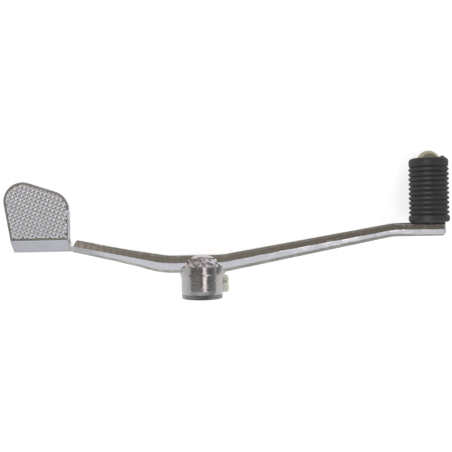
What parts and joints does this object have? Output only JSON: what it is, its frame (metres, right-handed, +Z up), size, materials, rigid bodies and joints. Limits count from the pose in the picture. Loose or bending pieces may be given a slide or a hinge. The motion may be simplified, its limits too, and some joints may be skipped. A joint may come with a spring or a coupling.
{
  "type": "heel-toe gear shift lever",
  "caption": "Forged heel-toe gear shift lever with a chequered heel pad, a ribbed rubber toe peg, and a split clamp boss that grips the shift shaft.",
  "frame": {"origin": "on the axis of the shift shaft bore, level with the pinch bolt, at about half the bore's length", "axes": "+X forward to the toe peg, +Y outboard along the shaft, +Z up, as on the left side of the motorbike with the lever level"},
  "size_m": [0.305, 0.0991, 0.0336],
  "materials": {
    "arm_chrome": "bright chrome plate over a forging, lightly scratched",
    "boss_chrome": "chrome plate over a turned boss, slightly rough",
    "weld_chrome": "chrome plate over a lumpy weld bead",
    "peg_steel": "plated steel with a warm tint",
    "rubber": "moulded black rubber, satin",
    "bolt_zinc": "bright zinc plate"
  },
  "bodies": {
    "root": {"lever_arm": "arm_chrome", "clamp_boss": "boss_chrome", "boss_weld": "weld_chrome", "toe_peg": "peg_steel", "peg_rubber": "rubber", "pinch_bolt": "bolt_zinc"}
  },
  "joints": []
}
